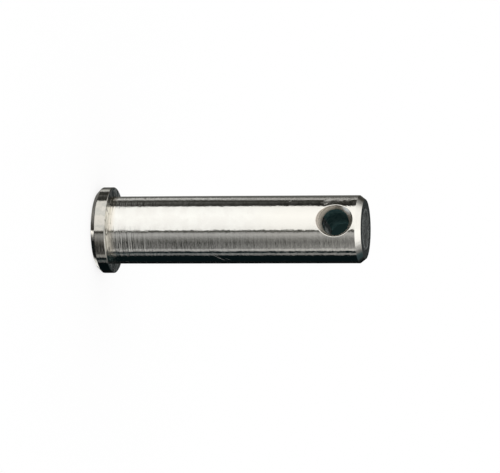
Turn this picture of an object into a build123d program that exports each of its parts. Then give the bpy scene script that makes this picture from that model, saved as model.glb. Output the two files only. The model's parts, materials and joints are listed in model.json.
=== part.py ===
from build123d import *
import os

# Clevis pin, turned from one length of round bar. It stands on its head:
# the origin is the centre of the head's outer face, and the shank runs up +Z.
# The cross hole for the split pin runs along Y. Sizes are in millimetres.
shank_diameter = 7.92  # a nominal 8 mm pin, made slightly under size
under_head_length = 30.0  # shoulder to end face
head_diameter = 10.1
head_thickness = 1.8
head_chamfer = 0.55  # round the outer face, at 45 degrees
head_edge_break = 0.1  # rounds the rim on the shank side
shoulder_fillet = 0.25  # root between head and shank
tip_chamfer_length = 0.65  # lead-in, measured along the axis
tip_chamfer_depth = 0.5  # lead-in, measured across the end face
hole_diameter = 3.1
hole_to_tip = 3.07  # centre of the hole to the end face
countersink_diameter = 4.33  # at the crest of the shank
countersink_angle = 60.0  # included angle, in degrees

# Places that follow from the sizes
head_radius = head_diameter / 2
shank_radius = shank_diameter / 2
tip_height = head_thickness + under_head_length
hole_height = tip_height - hole_to_tip


def turned_edges(height):
    """Circular edges at one height, from the smallest to the largest."""
    rings = clevis_pin.edges().filter_by(GeomType.CIRCLE)
    return rings.filter_by_position(Axis.Z, height, height).sort_by(SortBy.RADIUS)


with BuildPart() as clevis_pin:
    # Half outline of the bar as turned, spun about the pin's own axis
    with BuildSketch(Plane.XZ):
        with BuildLine():
            Polyline(
                (0, 0),
                (head_radius, 0),
                (head_radius, head_thickness),
                (shank_radius, head_thickness),
                (shank_radius, tip_height),
                (0, tip_height),
                close=True,
            )
        make_face()
    revolve(axis=Axis.Z)

    # Head: chamfer round the outer face, broken inner rim, filleted root
    chamfer(turned_edges(0), head_chamfer)
    fillet(turned_edges(head_thickness)[-1], head_edge_break)
    fillet(turned_edges(head_thickness)[0], shoulder_fillet)

    # Lead-in at the tip, longer along the shank than it is deep
    shank_wall = clevis_pin.faces().filter_by(GeomType.CYLINDER).sort_by(SortBy.AREA)[-1]
    chamfer(turned_edges(tip_height), tip_chamfer_length, tip_chamfer_depth, reference=shank_wall)

    # Cross hole, countersunk where it comes out on each side of the shank
    mouths = [
        Plane(origin=(0, side * shank_radius, hole_height), z_dir=(0, side, 0))
        for side in (-1, 1)
    ]
    with Locations(*mouths):
        CounterSinkHole(
            radius=hole_diameter / 2,
            counter_sink_radius=countersink_diameter / 2,
            counter_sink_angle=countersink_angle,
        )

clevis_pin.part.label = "clevis_pin"

os.makedirs("parts", exist_ok=True)
export_step(clevis_pin.part, "parts/clevis_pin.step")
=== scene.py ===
import json
import math
import bmesh
import bpy
from mathutils import Matrix, Vector


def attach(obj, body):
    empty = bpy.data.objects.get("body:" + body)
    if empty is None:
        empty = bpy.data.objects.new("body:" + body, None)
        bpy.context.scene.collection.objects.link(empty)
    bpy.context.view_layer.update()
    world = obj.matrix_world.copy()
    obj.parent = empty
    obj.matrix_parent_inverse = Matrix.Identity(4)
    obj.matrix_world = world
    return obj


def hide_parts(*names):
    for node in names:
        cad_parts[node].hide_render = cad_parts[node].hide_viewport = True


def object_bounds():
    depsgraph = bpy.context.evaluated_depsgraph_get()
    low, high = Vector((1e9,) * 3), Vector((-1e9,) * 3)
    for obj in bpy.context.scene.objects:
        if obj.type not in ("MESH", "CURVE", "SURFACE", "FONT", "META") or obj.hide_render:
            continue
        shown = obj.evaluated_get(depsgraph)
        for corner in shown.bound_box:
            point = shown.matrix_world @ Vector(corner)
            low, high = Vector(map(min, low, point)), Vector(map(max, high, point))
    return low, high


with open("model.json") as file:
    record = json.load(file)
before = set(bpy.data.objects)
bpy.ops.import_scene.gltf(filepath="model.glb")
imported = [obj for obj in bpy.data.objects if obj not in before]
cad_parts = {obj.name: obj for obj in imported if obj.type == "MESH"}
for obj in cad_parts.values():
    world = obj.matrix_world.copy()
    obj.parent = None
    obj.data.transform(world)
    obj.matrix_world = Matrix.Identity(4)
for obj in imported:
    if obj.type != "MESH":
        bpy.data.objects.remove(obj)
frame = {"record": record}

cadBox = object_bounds()
mm = 0.001

# The frame gives the pin's main sizes, and its mounts give the shank, shoulder and cross hole
mounts = {mount["name"]: mount for mount in frame["record"]["mounts"]}
headRadius = cadBox[1].x
pinLength = cadBox[1].z
shankRadius = mounts["shank"]["dims"]["r_mm"] * mm
shoulderHeight = mounts["shoulder"]["pos_m"][2]
holeRadius = mounts["cross_hole"]["dims"]["r_mm"] * mm
holeWall = mounts["cross_hole"]["dims"]["length_mm"] * mm
holeHeight = mounts["cross_hole"]["pos_m"][2]

pinShape = {
    "headChamfer": 0.55 * mm,
    "tipChamferLength": 0.65 * mm,  # along the pin
    "tipChamferDepth": 0.5 * mm,  # across the end face
    # the end face is flat along its edge and falls away inside
    "dishWidth": 0.75 * mm,
    "dishDepth": 0.06 * mm,
    "dishRound": 0.2 * mm,
    "shoulderFillet": 0.25 * mm,
    "rimRound": 0.1 * mm,  # the head's rim on the shank side
    "edgeRound": 0.05 * mm,  # the other turned edges
    "roundSegments": 4,
    "sinkAngle": math.radians(60),  # the countersink's included angle
    "columns": 240,  # faces round the pin
    "shankRows": 26,  # rows of faces between the grooves and the cross hole
    "weld": 0.001 * mm,  # points closer than this are made one
}

# Grooves that the turning tool left on the shank, deepest beside the head
grooves = {
    "end": 9.0 * mm,
    "rows": 130,
    "depth": 0.004 * mm,
    "pitches": (0.27 * mm, 0.41 * mm, 0.64 * mm, 1.1 * mm),
    "fadeIn": 0.6 * mm,  # they deepen over this length beside the shoulder
}

# The cross hole was drilled before the last cut along the shank, which pushed up a lip on one side of each
# mouth. The mouth's edge is laid first, and rings of faces join it to the shank.
mouth = {
    "reachSteps": 12,  # the edge's place is worked out in this many steps
    "columns": 56,  # columns of the shank's faces that a mouth takes up
    "below": 0.75 * mm,  # fine rows start this far under the mouth
    "above": 0.21 * mm,  # and end this far over it
    "skin": 0.95,  # faces beyond this share of the shank's radius are on its surface
    "rings": (1, 0.8, 0.62, 0.47, 0.35, 0.26, 0.19, 0.12, 0),  # shares of the lip's width
    "joinRows": 3,  # rows of points between the outermost ring and the shank's own faces
    "lipWidth": 0.55 * mm,
    "edgeBand": 0.07 * mm,  # the rings beyond this are closer together towards the tip
    "tipShare": 0.2,
    "lipHeight": 0.07 * mm,
    "lipFocus": 6,  # the higher, the shorter the lip is round the mouth
    "crest": 0.18,  # where the lip is highest, as a share of its width
    "unevenness": 0.5,
    "waves": (3, 9),  # how often the unevenness comes and goes round the mouth
    "round": 0.06 * mm,
    "roundSegments": 3,
}


def joinRow(bm, points):
    verts = [bm.verts.new((radius, 0, height)) for radius, height in points]
    return [bm.edges.new(pair) for pair in zip(verts, verts[1:])]


def ringEdges(verts):
    return list({edge for vert in verts for edge in vert.link_edges})


def mouthReach(angle):
    # how far the mouth's edge lies from the hole's axis: the countersink's cone meets the shank there
    slope = math.tan(pinShape["sinkAngle"] / 2)
    sinkRadius = holeRadius + (shankRadius - holeWall / 2) * slope
    reach = sinkRadius
    for _ in range(mouth["reachSteps"]):
        depth = shankRadius - math.sqrt(shankRadius**2 - (reach * math.cos(angle)) ** 2)
        reach = sinkRadius - depth * slope
    return reach


def lipHeight(angle, side, share):
    facing = max(0, math.cos(angle) * side) ** mouth["lipFocus"]  # on the side that the tool left last
    slow, quick = mouth["waves"]
    wave = 1 + mouth["unevenness"] * (math.sin(slow * angle + side) + math.sin(quick * angle)) / 2
    profile = (1 - share) ** 2 * (1 + min(1, share / mouth["crest"])) / 2
    return mouth["lipHeight"] * facing * wave * profile


def layCircle(bm, radius, place):
    # its points stand in a plane square to the cross hole
    place = place @ Matrix.Rotation(math.radians(90), 4, "X")
    circle = bmesh.ops.create_circle(bm, segments=4 * mouth["columns"], radius=radius, matrix=place)
    return circle["verts"]


def layMouthRing(bm, side, share):
    # a ring on the shank's surface, grown from the mouth's edge and raised by the lip
    verts = layCircle(bm, 1, Matrix.Identity(4))
    for vert in verts:
        angle = math.atan2(vert.co.z, vert.co.x)
        grow = mouth["lipWidth"] * share
        upGrow = min(grow, mouth["edgeBand"] + (grow - mouth["edgeBand"]) * mouth["tipShare"])
        x = vert.co.x * (mouthReach(angle) + grow)
        z = vert.co.z * (mouthReach(angle) + (upGrow if vert.co.z > 0 else grow))
        radius = shankRadius + lipHeight(angle, side, share)
        vert.co = (x, side * math.sqrt(radius**2 - x**2), holeHeight + z)
    return verts


def layBoreRing(bm, side):
    return layCircle(bm, holeRadius, Matrix.Translation((0, side * holeWall / 2, holeHeight)))


def cutMouth(bm, side, low, high):
    halfWindow = math.pi * mouth["columns"] / pinShape["columns"]
    window = []
    for face in bm.faces:
        middle = face.calc_center_median()
        onShank = middle.xy.length > mouth["skin"] * shankRadius and low < middle.z < high
        if onShank and abs(math.atan2(middle.x, side * middle.y)) < halfWindow:
            window.append(face)
    bmesh.ops.delete(bm, geom=window, context="FACES")
    outer = [edge for edge in bm.edges if edge.is_boundary and edge.verts[0].co.y * side > 0]
    rings = [ringEdges(layMouthRing(bm, side, share)) for share in mouth["rings"]]
    bore = ringEdges(layBoreRing(bm, side))
    first = bmesh.ops.bridge_loops(bm, edges=outer + rings[0])
    split = bmesh.ops.subdivide_edges(bm, edges=first["edges"], cuts=mouth["joinRows"], use_grid_fill=True)
    for vert in (part for part in split["geom_inner"] if isinstance(part, bmesh.types.BMVert)):
        vert.co.xy = vert.co.xy.normalized() * shankRadius
    for near, far in zip(rings, rings[1:] + [bore]):
        bmesh.ops.bridge_loops(bm, edges=near + far)
    return rings[-1], bore


def cutGrooves(bm):
    start = shoulderHeight + pinShape["shoulderFillet"]
    for vert in bm.verts:
        past, left = vert.co.z - start, grooves["end"] - vert.co.z
        if past > 0 and left > 0:
            waves = [math.sin(2 * math.pi * vert.co.z / pitch) for pitch in grooves["pitches"]]
            fade = min(1, past / grooves["fadeIn"]) * left / (grooves["end"] - start)
            vert.co.x -= grooves["depth"] * fade * (len(waves) + sum(waves)) / 2


def turnPin():
    bm = bmesh.new()
    tip = pinLength - pinShape["tipChamferLength"]
    endRadius = shankRadius - pinShape["tipChamferDepth"]
    dishEdge = endRadius - pinShape["dishWidth"]
    dishHeight = pinLength - pinShape["dishDepth"]
    low = holeHeight - mouthReach(math.pi / 2) - mouth["below"]
    high = holeHeight + mouthReach(math.pi / 2) + mouth["above"]
    corners = [
        ((headRadius - pinShape["headChamfer"], 0), "edgeRound"),
        ((headRadius, pinShape["headChamfer"]), "edgeRound"),
        ((headRadius, shoulderHeight), "rimRound"),
        ((shankRadius, shoulderHeight), "shoulderFillet"),
        ((shankRadius, tip), "edgeRound"),
        ((endRadius, pinLength), "edgeRound"),
        ((dishEdge, pinLength), "dishRound"),
    ]
    points = [point for point, _ in corners]
    shank = [(shankRadius, height) for height in (grooves["end"], low, high)]
    edges = joinRow(bm, [(0, 0), *points[:4], *shank, *points[4:], (0, dishHeight)])
    for edge, cuts in zip(edges[4:7], (grooves["rows"], pinShape["shankRows"], mouth["columns"] - 1)):
        bmesh.ops.subdivide_edges(bm, edges=[edge], cuts=cuts)
    for (radius, height), size in corners:
        corner = min(bm.verts, key=lambda vert: (vert.co - Vector((radius, 0, height))).length)
        bmesh.ops.bevel(bm, geom=[corner], offset=pinShape[size], segments=pinShape["roundSegments"],
                        affect="VERTICES", profile=0.5, material=-1)
    cutGrooves(bm)
    bmesh.ops.spin(bm, geom=bm.verts[:] + bm.edges[:], cent=(0, 0, 0), axis=(0, 0, 1), angle=2 * math.pi,
                   steps=pinShape["columns"], use_merge=True)
    bmesh.ops.remove_doubles(bm, verts=bm.verts[:], dist=pinShape["weld"])
    print("outline turned")
    mouths = [cutMouth(bm, side, low, high) for side in (-1, 1)]
    bmesh.ops.bridge_loops(bm, edges=mouths[0][1] + mouths[1][1])
    sharp = [edge for rings in mouths for ring in rings for edge in ring]
    bmesh.ops.bevel(bm, geom=sharp, offset=mouth["round"], segments=mouth["roundSegments"],
                    affect="EDGES", profile=0.5, material=-1)
    bmesh.ops.recalc_face_normals(bm, faces=bm.faces[:])
    giveFinishes(bm)
    print("cross hole cut", len(bm.faces), "faces")
    return bm


# The order of the pin's finishes, and how its faces are told apart
shankFinish, headFinish, facedFinish, boreFinish, sinkFinish = range(5)
finishLimits = {
    "flat": 0.9,  # a face is faced if its normal lies this much along the pin
    "bore": 1.02,  # the bore's faces lie within this many radii of the hole
    "sink": 1.5,  # the countersink's faces lie within these
    "skin": 0.995,  # and within this share of the shank's radius
}


def giveFinishes(bm):
    for face in bm.faces:
        middle = face.calc_center_median()
        fromAxis = middle.xy.length
        fromHole = Vector((middle.x, middle.z - holeHeight)).length / holeRadius
        face.material_index = shankFinish
        if abs(face.normal.z) > finishLimits["flat"] and fromAxis < headRadius:
            face.material_index = facedFinish
        elif middle.z < shoulderHeight:
            face.material_index = headFinish
        elif fromHole < finishLimits["bore"] and abs(middle.y) < holeWall / 2:
            face.material_index = boreFinish
        elif fromHole < finishLimits["sink"] and fromAxis < finishLimits["skin"] * shankRadius:
            face.material_index = sinkFinish


def placeMesh(bm, name):
    mesh = bpy.data.meshes.new(name)
    bm.to_mesh(mesh)
    bm.free()
    piece = bpy.data.objects.new(name, mesh)
    bpy.context.scene.collection.objects.link(piece)
    return piece


def finishMesh(bm, name):
    # the largest faces round a vertex set its normal, so flats stay flat beside a rounded edge
    normals = []
    for vert in bm.verts:
        around = sum((face.normal * face.calc_area() for face in vert.link_faces), Vector())
        normals.append(around.normalized())
    piece = placeMesh(bm, name)
    piece.data.shade_smooth()
    piece.data.normals_split_custom_set_from_vertices(normals)
    return piece


patternLook = {
    "cloudDetail": 2,
    "lineDetail": 3,
    "lineRoughness": 0.6,
}
# What the finishes share, unless their own looks say otherwise
bareSteel = {
    "metallic": 1,
    "shine": 0.5,
    "anisotropy": 0,
    "glossTurn": 0.25,  # a quarter turn spreads reflections along the pin, across the tool's marks
    "patchDetail": 4,
    "patchEdge": (0.35, 0.65),
}


def addNode(tree, kind, inputs=None, **settings):
    node = tree.nodes.new("ShaderNode" + kind)
    for name, value in settings.items():
        setattr(node, name, value)
    for socket, value in (inputs or {}).items():
        if isinstance(value, bpy.types.NodeSocket):
            tree.links.new(value, node.inputs[socket])
        else:
            node.inputs[socket].default_value = value
    return node


def calc(tree, operation, *values):
    return addNode(tree, "Math", dict(enumerate(values)), operation=operation).outputs[0]


def remap(tree, value, fromRange, toRange):
    limits = dict(zip(("From Min", "From Max", "To Min", "To Max"), (*fromRange, *toRange)))
    ranged = addNode(tree, "MapRange", {"Value": value, **limits}, interpolation_type="SMOOTHSTEP")
    return ranged.outputs["Result"]


def cloudy(tree, place, size, detail=patternLook["cloudDetail"]):
    return addNode(tree, "TexNoise", {"Vector": place, "Scale": 1 / size, "Detail": detail}).outputs[0]


def fineLines(tree, inputs, **settings):
    inputs = {**inputs, "Detail": patternLook["lineDetail"], "Roughness": patternLook["lineRoughness"]}
    return addNode(tree, "TexNoise", inputs, **settings).outputs[0]


def toolRings(tree, along, pitch):
    # uneven parallel lines, as a cutting tool leaves them
    return fineLines(tree, {"W": along, "Scale": 1 / pitch}, noise_dimensions="1D")


def streaks(tree, place, size):
    # short lines round the pin: size is their reach, their reach again and their pitch
    stretched = addNode(tree, "VectorMath", {0: place, 1: size}, operation="DIVIDE").outputs["Vector"]
    return fineLines(tree, {"Vector": stretched, "Scale": 1})


def blendColour(tree, share, first, second):
    return addNode(tree, "Mix", {0: share, 6: first, 7: second}, data_type="RGBA").outputs[2]


def startSteel(name, look):
    # cloudy in colour and roughness
    look = {**bareSteel, **look}
    material = bpy.data.materials.new(name)
    material.use_nodes = True
    tree = material.node_tree
    shader = tree.nodes["Principled BSDF"]
    shader.inputs["Metallic"].default_value = look["metallic"]
    shader.inputs["Anisotropic"].default_value = look["anisotropy"]
    shader.inputs["Anisotropic Rotation"].default_value = look["glossTurn"]
    shader.inputs["Specular IOR Level"].default_value = look["shine"]
    tangent = addNode(tree, "Tangent", direction_type="RADIAL", axis="Z").outputs["Tangent"]
    tree.links.new(tangent, shader.inputs["Tangent"])
    place = addNode(tree, "TexCoord").outputs["Object"]
    clouds = cloudy(tree, place, look["patchSize"], look["patchDetail"])
    patches = remap(tree, clouds, look["patchEdge"], (0, 1))
    tree.links.new(blendColour(tree, patches, look["colour"], look["stain"]), shader.inputs["Base Color"])
    tree.links.new(remap(tree, patches, (0, 1), look["roughness"]), shader.inputs["Roughness"])
    return material, place


def tintSteel(tree, share, colour):
    # share is 0 where the steel keeps its colour and 1 where it takes on the new one
    socket = tree.nodes["Principled BSDF"].inputs["Base Color"]
    tree.links.new(blendColour(tree, share, socket.links[0].from_socket, colour), socket)


def raiseSurface(tree, heights):
    # the heights are in metres
    total = heights[0]
    for height in heights[1:]:
        total = calc(tree, "ADD", total, height)
    bump = addNode(tree, "Bump", {"Height": total, "Strength": 1, "Distance": 1})
    tree.links.new(bump.outputs["Normal"], tree.nodes["Principled BSDF"].inputs["Normal"])


def scaled(tree, pattern, height):
    return calc(tree, "MULTIPLY", pattern, height)


# Marks on the surface: the azimuth and height of the middle, the slant from the pin's axis, the length, the
# width and the depth. The drill raised the swells beside its hole, so their depth is under 0.
scratches = {
    "lower": (74.5, 15.1 * mm, -43, 2.7 * mm, 0.27 * mm, 0.035 * mm),
    "lowerTwin": (76.5, 15.9 * mm, -38, 1.4 * mm, 0.17 * mm, 0.02 * mm),
    "topSpeck": (-40, 23.3 * mm, 70, 0.4 * mm, 0.3 * mm, 0.025 * mm),
}
swells = {
    "left": (-36.8, 27.75 * mm, 14, 1.8 * mm, 1 * mm, -0.042 * mm),
    "middle": (-40.5, 28.9 * mm, -16, 2 * mm, 0.7 * mm, -0.028 * mm),
    "right": (-41, 30.2 * mm, 6, 1.1 * mm, 0.8 * mm, -0.025 * mm),
}
# Dull pale places in the countersink, painted highlights where it catches the light, each with its colour
# instead of a depth
paleHighlightPlaces = {
    "upper": (-20, 30.05 * mm, -45, 2.3 * mm, 1.2 * mm, (0.74, 0.8, 0.82, 1)),
    "left": (4, 26.9 * mm, 90, 3.6 * mm, 1.3 * mm, (0.62, 0.55, 0.48, 1)),
}
markLook = {
    "reach": 1 * mm,  # how far from the surface a mark still counts
    "scratchRoughness": 0.8,  # added to the steel's own
    "swellRoughness": 0.16,
}


def surfaceMarks(tree, place, marks):
    # each pattern is 1 in the middle of its mark and 0 outside it
    patterns = []
    for azimuth, height, slant, length, width, _ in marks.values():
        outward = Matrix.Rotation(math.radians(azimuth), 3, "Z") @ Vector((0, -1, 0))
        along = Matrix.Rotation(math.radians(slant), 3, outward) @ Vector((0, 0, 1))
        turned = Matrix((along, outward.cross(along), outward)).transposed().to_euler()
        middle = outward * shankRadius + Vector((0, 0, height))
        size = (length / 2, width / 2, markLook["reach"])
        inputs = {"Vector": place, "Location": middle, "Rotation": turned, "Scale": size}
        local = addNode(tree, "Mapping", inputs, vector_type="TEXTURE")
        far = addNode(tree, "VectorMath", {0: local.outputs["Vector"]}, operation="LENGTH").outputs["Value"]
        patterns.append(remap(tree, far, (0, 1), (1, 0)))
    return patterns


def markHeights(tree, patterns, marks):
    return [scaled(tree, pattern, -mark[-1]) for pattern, mark in zip(patterns, marks.values())]


shankLook = {
    "colour": (0.67, 0.66, 0.64, 1),
    "stain": (0.65, 0.635, 0.615, 1),
    "patchSize": 1.1 * mm,
    "roughness": (0.11, 0.15),
    "anisotropy": 1,
    "footColour": (0.62, 0.57, 0.5, 1),  # beside the head the steel is tinted brown
    "footReach": (2.05 * mm, 2.9 * mm),
    "tipColour": (0.67, 0.65, 0.62, 1),  # it warms a little towards the tip
    "tipReach": (16 * mm, 24 * mm),
    "streakSize": (4.5 * mm, 4.5 * mm, 0.36 * mm),
    "streakDepth": 0.07 * mm,
    "streakFade": (3 * mm, 9 * mm),  # the streaks grow faint over this stretch
    "faintStreaks": 0.14,
    "mottleSize": 0.45 * mm,
    "mottleHeights": (0.009 * mm, 0.01 * mm),  # before and after the stretch where the streaks fade
    "grainSize": 0.2 * mm,
    "grainHeight": 0.003 * mm,
    "waveSize": 2.2 * mm,
    "waveHeight": 0.008 * mm,
}


def turnedSteel():
    look = shankLook
    material, place = startSteel("turnedSteel", look)
    tree = material.node_tree
    shader = tree.nodes["Principled BSDF"]
    along = addNode(tree, "SeparateXYZ", {"Vector": place}).outputs["Z"]
    tintSteel(tree, remap(tree, along, look["footReach"], (1, 0)), look["footColour"])
    tintSteel(tree, remap(tree, along, look["tipReach"], (0, 1)), look["tipColour"])
    scratched, swollen = surfaceMarks(tree, place, scratches), surfaceMarks(tree, place, swells)
    roughness = shader.inputs["Roughness"].links[0].from_socket
    for patterns, kind in ((scratched, "scratchRoughness"), (swollen, "swellRoughness")):
        for pattern in patterns:
            roughness = calc(tree, "ADD", roughness, scaled(tree, pattern, markLook[kind]))
    tree.links.new(roughness, shader.inputs["Roughness"])
    deep, faint = look["streakDepth"], look["streakDepth"] * look["faintStreaks"]
    depth = remap(tree, along, look["streakFade"], (deep, faint))
    mottle = remap(tree, along, look["streakFade"], look["mottleHeights"])
    raiseSurface(tree, [
        scaled(tree, streaks(tree, place, look["streakSize"]), depth),
        scaled(tree, cloudy(tree, place, look["mottleSize"]), mottle),
        scaled(tree, cloudy(tree, place, look["grainSize"]), look["grainHeight"]),
        scaled(tree, cloudy(tree, place, look["waveSize"]), look["waveHeight"]),
        *markHeights(tree, scratched, scratches),
        *markHeights(tree, swollen, swells),
    ])
    return material


headLook = {
    "colour": (0.5, 0.475, 0.44, 1),
    "stain": (0.42, 0.41, 0.385, 1),
    "patchSize": 0.6 * mm,
    "roughness": (0.07, 0.11),
    "anisotropy": 1,
    "streakSize": (1.6 * mm, 1.6 * mm, 0.2 * mm),
    "streakDepth": 0.012 * mm,
    "waveSize": 0.9 * mm,
    "waveHeight": 0.01 * mm,
}


def headSteel():
    look = headLook
    material, place = startSteel("headSteel", look)
    tree = material.node_tree
    raiseSurface(tree, [
        scaled(tree, streaks(tree, place, look["streakSize"]), look["streakDepth"]),
        scaled(tree, cloudy(tree, place, look["waveSize"]), look["waveHeight"]),
    ])
    return material


facedLook = {
    "colour": (0.7, 0.73, 0.72, 1),
    "stain": (0.36, 0.38, 0.38, 1),
    "patchSize": 1.2 * mm,
    "roughness": (0.04, 0.07),
    "shine": 0,
    # Dull dirt lies in spots, and a dull dark ring round the pin's axis is painted shade, a dark reflection
    # along the end face's rim. The ring thickens between the first two distances from the axis and ends
    # between the last two.
    "dirtAndShadeColour": (0.03, 0.034, 0.034, 1),
    "shadeRingStart": (2 * mm, 2.9 * mm),
    "shadeRingEnd": (3.5 * mm, 3.6 * mm),
    "dirtAndShadeTint": 2,  # its colour reaches further than its dullness, so that no pale line shows along it
    "spotSize": 1 * mm,
    "spotEdge": (0.57, 0.67),
    "spotShare": 0.7,
    "ringPitch": 0.16 * mm,
    "ringDepth": 0.003 * mm,
    "waveSize": 1.5 * mm,
    "waveHeight": 0.03 * mm,
}


def facedSteel():
    # the flat faces, cut by a tool that moved across them
    look = facedLook
    material, place = startSteel("facedSteel", look)
    tree = material.node_tree
    flat = addNode(tree, "VectorMath", {0: place, 1: (1, 1, 0)}, operation="MULTIPLY").outputs["Vector"]
    fromAxis = addNode(tree, "VectorMath", {0: flat}, operation="LENGTH").outputs["Value"]
    # the ring is painted shade along the end face's rim, the spots are dirt
    started = remap(tree, fromAxis, look["shadeRingStart"], (0, 1))
    ring = calc(tree, "MULTIPLY", started, remap(tree, fromAxis, look["shadeRingEnd"], (1, 0)))
    spots = remap(tree, cloudy(tree, place, look["spotSize"]), look["spotEdge"], (0, look["spotShare"]))
    dirtAndShade = calc(tree, "MAXIMUM", ring, spots)
    tintSteel(tree, scaled(tree, dirtAndShade, look["dirtAndShadeTint"]), look["dirtAndShadeColour"])
    bare = calc(tree, "SUBTRACT", 1, dirtAndShade)
    tree.links.new(bare, tree.nodes["Principled BSDF"].inputs["Metallic"])
    raiseSurface(tree, [
        scaled(tree, toolRings(tree, fromAxis, look["ringPitch"]), look["ringDepth"]),
        scaled(tree, cloudy(tree, place, look["waveSize"]), look["waveHeight"]),
    ])
    return material


boreLook = {
    "metallic": 0,  # dull and dark: painted shade for the deep hole
    "colour": (0.06, 0.11, 0.11, 1),
    "stain": (0.03, 0.07, 0.07, 1),
    "shine": 0,
    "patchSize": 0.5 * mm,
    "roughness": (0.5, 0.6),
    "ringPitch": 0.18 * mm,
    "ringDepth": 0.01 * mm,
}


def drilledSteel():
    look = boreLook
    material, place = startSteel("drilledSteel", look)
    tree = material.node_tree
    along = addNode(tree, "SeparateXYZ", {"Vector": place}).outputs["Y"]
    raiseSurface(tree, [scaled(tree, toolRings(tree, along, look["ringPitch"]), look["ringDepth"])])
    return material


sinkLook = {
    "colour": (0.87, 0.8, 0.72, 1),
    "stain": (0.72, 0.66, 0.59, 1),
    "patchSize": 0.5 * mm,
    "roughness": (0.38, 0.48),
    "ringColour": (0.45, 0.42, 0.37, 1),
    "ringEdge": (0.45, 0.65),
    "ringPitch": 0.16 * mm,
    "ringDepth": 0.001 * mm,
    "waveSize": 0.6 * mm,
    "waveHeight": 0.004 * mm,
}


def sunkSteel():
    look = sinkLook
    material, place = startSteel("sunkSteel", look)
    tree = material.node_tree
    along = addNode(tree, "SeparateXYZ", {"Vector": place}).outputs["Y"]
    rings = toolRings(tree, along, look["ringPitch"])
    tintSteel(tree, remap(tree, rings, look["ringEdge"], (0, 1)), look["ringColour"])
    bare = 1
    # the pale dull places are painted highlights
    for share, mark in zip(surfaceMarks(tree, place, paleHighlightPlaces), paleHighlightPlaces.values()):
        tintSteel(tree, share, mark[-1])
        bare = calc(tree, "MULTIPLY", bare, calc(tree, "SUBTRACT", 1, share))
    tree.links.new(bare, tree.nodes["Principled BSDF"].inputs["Metallic"])
    raiseSurface(tree, [
        scaled(tree, rings, look["ringDepth"]),
        scaled(tree, cloudy(tree, place, look["waveSize"]), look["waveHeight"]),
    ])
    return material


# Light: a white room, and cards hung round the pin that only its reflections see. The cards are strips of
# a ball round the pin. Each goes from one azimuth to another, through stops: an elevation and its level, or
# the levels at the strip's two sides. The darker a card gets, the more it takes on its deep tint.
cardBall = {
    "radius": 2,
    "rows": 90,
    "columnWidth": 5,  # degrees
    "fewestColumns": 2,
    "slack": 0.1,  # keeps points at a strip's first side from being taken for ones a full turn on
    "tint": (0.992, 0.997, 0.968),
    "deepBelow": 0.2,  # the deep tint starts to show under this level
    "leanAbove": -13,  # the cards lean over this elevation, which turns what the tip's half mirrors
    "leanReach": 6,  # they lean furthest this much higher
    # the lean, in degrees of azimuth for each degree of elevation, at these azimuths
    "leans": ((-180, 0), (-122, 6.5), (-95, 0), (-70, -0.5), (40, -0.4), (90, -0.2), (115, 0.2), (180, 0)),
}

olive, teal, slate = (1, 1, 0.82), (0.4, 1, 1.15), (0.8, 1, 1)  # the deep tints
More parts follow.
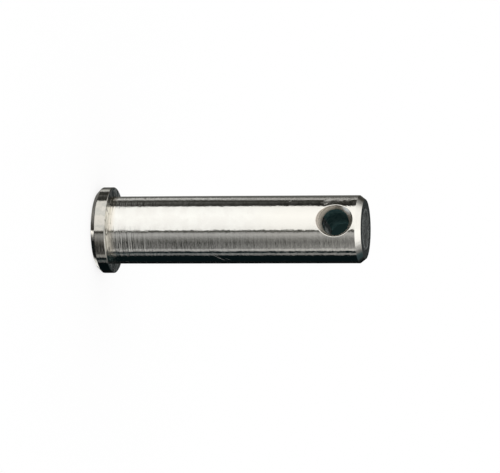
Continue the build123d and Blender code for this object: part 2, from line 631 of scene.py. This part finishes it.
# Runs of stops that several cards share
below = ((-90, 0.02), (-57, 0.02))
overhead = ((50, 1.4), (64, 1.35), (72, 1.5), (80, 1.7), (90, 1.8))
greyOver = ((35, 1), (50, 1.4), (66, 1.5), (76, 1.9), (90, 1.8))
greyRise = ((3, 0.6), (9, 1), (28, 1), *greyOver)
backOver = ((33, 0.06), (39, 0.14), (45, 0.33), (52, 0.75), (62, 1), (90, 1.8))
cards = {
    "softboxHigh": ((-69.7, -30), (
        *below, (-44, 1.36, 1.5), (48, 1.36, 1.5), *overhead), olive),
    "softboxLow": ((-30, 3), (
        *below, (-44, 1.5, 1.38), (48, 1.5, 1.38), *overhead), olive),
    "softboxEdge": ((3, 18.3), (
        *below, (-44, 1.38, 1.32), (-2, 1.38, 1.32), (6, 1.1, 0.06), (26, 1.1, 0.06), (38, 1.2),
        *overhead), olive),
    "boundaryGap": ((18.3, 25.8), (
        *below, (-44, 0.1), (-2, 0.1), (8, 0.3), (18, 0.8), (28, 1.2), *greyOver), olive),
    "greyNear": ((25.8, 34), (
        *below, (-30, 0.15, 0.3), (-14, 0.35, 0.58), (-10, 0.48, 0.68), (3, 0.45), (12, 0.7), (24, 1.2),
        *greyOver), olive),
    "greyFall": ((34, 47), (
        *below, (-30, 0.3, 0.12), (-14, 0.5, 0.19), (-10, 0.6, 0.32), *greyRise), olive),
    "greyMid": ((47, 60), (
        *below, (-30, 0.1, 0.02), (-14, 0.17, 0.03), (-10, 0.28, 0.2), *greyRise), olive),
    "greyFar": ((60, 85.5), (
        *below, (-30, 0.01), (-14, 0.01, 0.02), (-10, 0.2, 0.47), *greyRise), olive),
    "lightLine": ((85.5, 94.8), (
        *below, (-30, 0.1), (-15, 0.3), (-10, 0.78), (20, 0.7), *greyOver[:2], (60, 0.75),
        *greyOver[3:]), olive),
    "darkLine": ((94.8, 103.2), (
        *below, (-26, 0.012), (0, 0.012), (10, 0.15), (28, 0.35), (48, 0.57), (62, 0.7),
        *greyOver[3:]), teal),
    "paleLine": ((103.2, 113), (
        *below, (-26, 0.06), (-14, 0.12), (-10, 0.42), (10, 0.2), (28, 0.25), (48, 0.5), (62, 0.7),
        *greyOver[3:]), teal),
    "backdrop": ((113, 155), (
        (-90, 0.4, 0.05), (-50, 0.3, 0.05), (-38, 0.008), (4, 0.008), (12, 0.04), (22, 0.07),
        (31, 0.09, 0.05), (40, 0.22, 0.1), *backOver[2:]), teal),
    "backRight": ((155, 170), (
        (-90, 0.05), (-75, 0.006), (8, 0.006), (22, 0.04), *backOver), slate),
    "glint": ((170, 186), (
        (-90, 0.02, 0.3), (-79, 0.01, 2.2), (-67, 0.006, 2.2), (-63, 0.006), (-46, 0.006), (-42, 1.3),
        (-24, 1.3), (-19, 0.006), (8, 0.006), (22, 0.05), *backOver), slate),
    "backCentre": ((186, 196), (
        (-90, 0.3), (-80, 2.6, 1), (-67, 2.6, 0.8), (-63, 0.02), (3, 0.02), (4.5, 0.18), (7.8, 0.18),
        (8.9, 0.015), (11.1, 0.015), (12, 0.18), (13.1, 0.16), (13.7, 0.03), (27, 0.03),
        *backOver), slate),
    "topGrey": ((-164, -126.5), (
        (-90, 0.1), (-76, 0.06), (-71, 0.04, 0.4), (-62, 0.3, 0.55), (-52, 0.26), (-20, 0.2), (-8, 0.13),
        (3, 0.03), (4.5, 0.18, 0.02), (7.8, 0.18, 0.02), (8.9, 0.015), (11.1, 0.015), (12, 0.18, 0.03),
        (13.1, 0.16, 0.04), (13.7, 0.03, 0.05), (25, 0.03, 0.13), (32, 0.06, 0.3), (38, 0.5), (46, 1),
        (58, 1.5), (76, 1.6), (90, 1.3)), olive),
    "topLine": ((-126.5, -112.5), (
        *below, (-40, 0.4), (-30, 0.85), (-13, 0.85), (-9, 0.6), (-2, 0.6), (6, 0.12), (18, 0.12),
        (25, 0.25), (33, 0.55), (45, 1.1), *overhead[1:]), olive),
    "topDark": ((-112.5, -94), (
        *below, (-30, 0.2), (-24, 0.16), (-14, 0.05), (-9, 0.03), (4, 0.04), (10, 0.12), (20, 0.12),
        (28, 0.22, 0.4), (36, 0.5, 0.9), (46, 1), *overhead[1:]), olive),
    "topStreak": ((-94, -85), (
        *below, (-30, 0.4), (-24, 0.35), (-15, 0.25, 0.15), (-12.5, 0.06, 0.01), (-8, 0.04, 0.01),
        (6, 0.05), (15, 0.3), (35, 1), *overhead), olive),
    "topDarker": ((-85, -69.7), (
        *below, (-28, 0.16), (-14, 0.1, 0.06), (-13.2, 0.02, 0.01), (-12.5, 0.01), (6, 0.01), (15, 0.2),
        (35, 1.1), *overhead), olive),
}


def levelAt(stops, elevation, share):
    for (low, *lowLevels), (high, *highLevels) in zip(stops, stops[1:]):
        if elevation <= high:
            break
    rise = min(1, max(0, (elevation - low) / (high - low)))
    near = lowLevels[0] + (highLevels[0] - lowLevels[0]) * rise
    far = lowLevels[-1] + (highLevels[-1] - lowLevels[-1]) * rise
    return near + (far - near) * share


def cardGlow():
    material = bpy.data.materials.new("cardGlow")
    material.use_nodes = True
    tree = material.node_tree
    tree.nodes.remove(tree.nodes["Principled BSDF"])
    glow = addNode(tree, "Attribute", attribute_name="glow").outputs["Color"]
    emission = addNode(tree, "Emission", {"Color": glow}).outputs["Emission"]
    tree.links.new(emission, tree.nodes["Material Output"].inputs["Surface"])
    return material


def hangCard(name, azimuths, stops, deep, material):
    bm = bmesh.new()
    glow = bm.verts.layers.float_color.new("glow")
    centre = Vector((0, 0, pinLength / 2))
    low = bm.verts.new(centre + Vector((0, 0, -cardBall["radius"])))
    bmesh.ops.spin(bm, geom=[low], cent=centre, axis=(-1, 0, 0), angle=math.pi, steps=cardBall["rows"])
    start, end = (math.radians(azimuth) for azimuth in azimuths)
    bmesh.ops.rotate(bm, verts=bm.verts[:], cent=centre, matrix=Matrix.Rotation(start, 3, "Z"))
    columns = round(math.degrees(end - start) / cardBall["columnWidth"])
    bmesh.ops.spin(bm, geom=bm.verts[:] + bm.edges[:], cent=centre, axis=(0, 0, 1), angle=end - start,
                   steps=max(cardBall["fewestColumns"], columns))
    slack = cardBall["slack"]
    for vert in bm.verts:
        way = Matrix.Rotation(-start, 3, "Z") @ (vert.co - centre).normalized()
        elevation = math.degrees(math.asin(min(1, max(-1, way.z))))
        share = ((math.atan2(way.x, -way.y) + slack) % (2 * math.pi) - slack) / (end - start)
        level = levelAt(stops, elevation, min(1, max(0, share)))
        depth = max(0, 1 - level / cardBall["deepBelow"])
        tint = Vector(cardBall["tint"]).lerp(Vector(deep), depth)
        vert[glow] = (*(level * tint), 1)
        above = max(0, elevation - cardBall["leanAbove"])
        lean = levelAt(cardBall["leans"], math.degrees(math.atan2(vert.co.x, -vert.co.y)), 0)
        lean *= above / (1 + (above / cardBall["leanReach"]) ** 2)
        vert.co = centre + Matrix.Rotation(math.radians(lean), 3, "Z") @ (vert.co - centre)
    card = placeMesh(bm, name)
    card.data.materials.append(material)
    card.visible_camera = False
    card.visible_diffuse = False
    card.visible_shadow = False


room = {
    "colour": (1, 1, 1, 1),
    "strength": 1,
}


def whiteRoom():
    world = bpy.data.worlds.new("whiteRoom")
    bpy.context.scene.world = world
    world.use_nodes = True
    world.node_tree.nodes["Background"].inputs["Color"].default_value = room["colour"]
    world.node_tree.nodes["Background"].inputs["Strength"].default_value = room["strength"]


def dullPaint(name, colour):
    material = bpy.data.materials.new(name)
    material.use_nodes = True
    shader = material.node_tree.nodes["Principled BSDF"]
    shader.inputs["Base Color"].default_value = colour
    shader.inputs["Roughness"].default_value = 1
    shader.inputs["Specular IOR Level"].default_value = 0
    return material


# The floor glows a little, so that the pin's shadow on it stays light
paleFloor = {
    "radius": 3,
    "sides": 64,
    "glow": 0.8,
    "glowColour": (1, 1, 1, 1),
}


def layFloor():
    bm = bmesh.new()
    bmesh.ops.create_circle(bm, cap_ends=True, segments=paleFloor["sides"], radius=paleFloor["radius"])
    floor = placeMesh(bm, "floor")
    material = dullPaint("paleFloor", (*(1 - paleFloor["glow"],) * 3, 1))
    shader = material.node_tree.nodes["Principled BSDF"]
    shader.inputs["Emission Color"].default_value = paleFloor["glowColour"]
    shader.inputs["Emission Strength"].default_value = paleFloor["glow"]
    floor.data.materials.append(material)
    floor.visible_glossy = False
    floor.visible_shadow = False


# The camera stands where the photographer's did. It is rolled, because the photo shows the pin lying down.
shot = {
    "azimuth": math.radians(16.34),
    "elevation": math.radians(12.02),
    "roll": math.radians(0.205),
    "focalPixels": 3505.4,  # focal length in the photo's pixels
    "pixel": 0.11702 * mm,  # one pixel at the pin's middle
    "photoWidth": 500,
    "photoHeight": 473,
    "middle": (231.79, 229.7),  # where the pin's middle lies in the photo
    "sensor": 36,
    "clip": (0.01, 20),
}


def setCamera():
    azimuth, elevation = shot["azimuth"], shot["elevation"]
    back = Vector((math.sin(azimuth) * math.cos(elevation), -math.cos(azimuth) * math.cos(elevation),
                   math.sin(elevation)))
    rightward = (Vector((0, 0, 1)) - back * back.z).normalized()
    turn = Matrix.Rotation(-shot["roll"], 3, back)
    rightward = turn @ rightward
    upward = back.cross(rightward)
    middle = Vector((0, 0, pinLength / 2))
    offCentre = (rightward * (shot["photoWidth"] / 2 - shot["middle"][0])
                 - upward * (shot["photoHeight"] / 2 - shot["middle"][1]))
    place = middle + back * shot["focalPixels"] * shot["pixel"]
    aim = middle + offCentre * shot["pixel"]
    back = (place - aim).normalized()
    rightward = (rightward - back * back.dot(rightward)).normalized()
    upward = back.cross(rightward)
    data = bpy.data.cameras.new("camera")
    data.sensor_width = shot["sensor"]
    data.lens = shot["focalPixels"] / shot["photoWidth"] * shot["sensor"]
    data.clip_start, data.clip_end = shot["clip"]
    camera = bpy.data.objects.new("camera", data)
    bpy.context.scene.collection.objects.link(camera)
    turned = Matrix((rightward, upward, back)).transposed().to_4x4()
    camera.matrix_world = Matrix.Translation(place) @ turned
    bpy.context.scene.camera = camera
    return camera


# The hole should show dark, so a small dark flag stands behind it on the camera's line of sight: painted
# shade, seen through the hole
paintedShadeFlag = {
    "radius": 2.3 * mm,
    "sides": 32,
    "distance": 0.14,  # behind the hole
    "sighting": (0, 2.9 * mm, 0),  # the line of sight passes this point, from the hole's centre
    "level": (0.008, 0.017, 0.017, 1),
}


# the flag is a dark sheet of painted shade behind the hole
def raiseFlag(camera):
    eye = camera.matrix_world.translation
    sighted = Vector((0, 0, holeHeight)) + Vector(paintedShadeFlag["sighting"])
    sight = (sighted - eye).normalized()
    bm = bmesh.new()
    bmesh.ops.create_circle(bm, cap_ends=True, segments=paintedShadeFlag["sides"], radius=paintedShadeFlag["radius"])
    turned = sight.to_track_quat("Z", "Y").to_matrix().to_4x4()
    place = Matrix.Translation(sighted + sight * paintedShadeFlag["distance"]) @ turned
    bmesh.ops.transform(bm, matrix=place, verts=bm.verts[:])
    flag = placeMesh(bm, "paintedShadeFlag")
    flag.data.materials.append(dullPaint("paintedShadeFlag", paintedShadeFlag["level"]))
    flag.visible_shadow = False


pin = finishMesh(turnPin(), "turned_pin")
for finish in (turnedSteel, headSteel, facedSteel, drilledSteel, sunkSteel):
    pin.data.materials.append(finish())
print("finishes made")
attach(pin, "root")
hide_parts("clevis_pin")

whiteRoom()
layFloor()
glowing = cardGlow()
for name, spec in cards.items():
    hangCard(name, *spec, glowing)
print("light hung")
raiseFlag(setCamera())
print("camera set")
bpy.context.scene.view_settings.view_transform = "Standard"
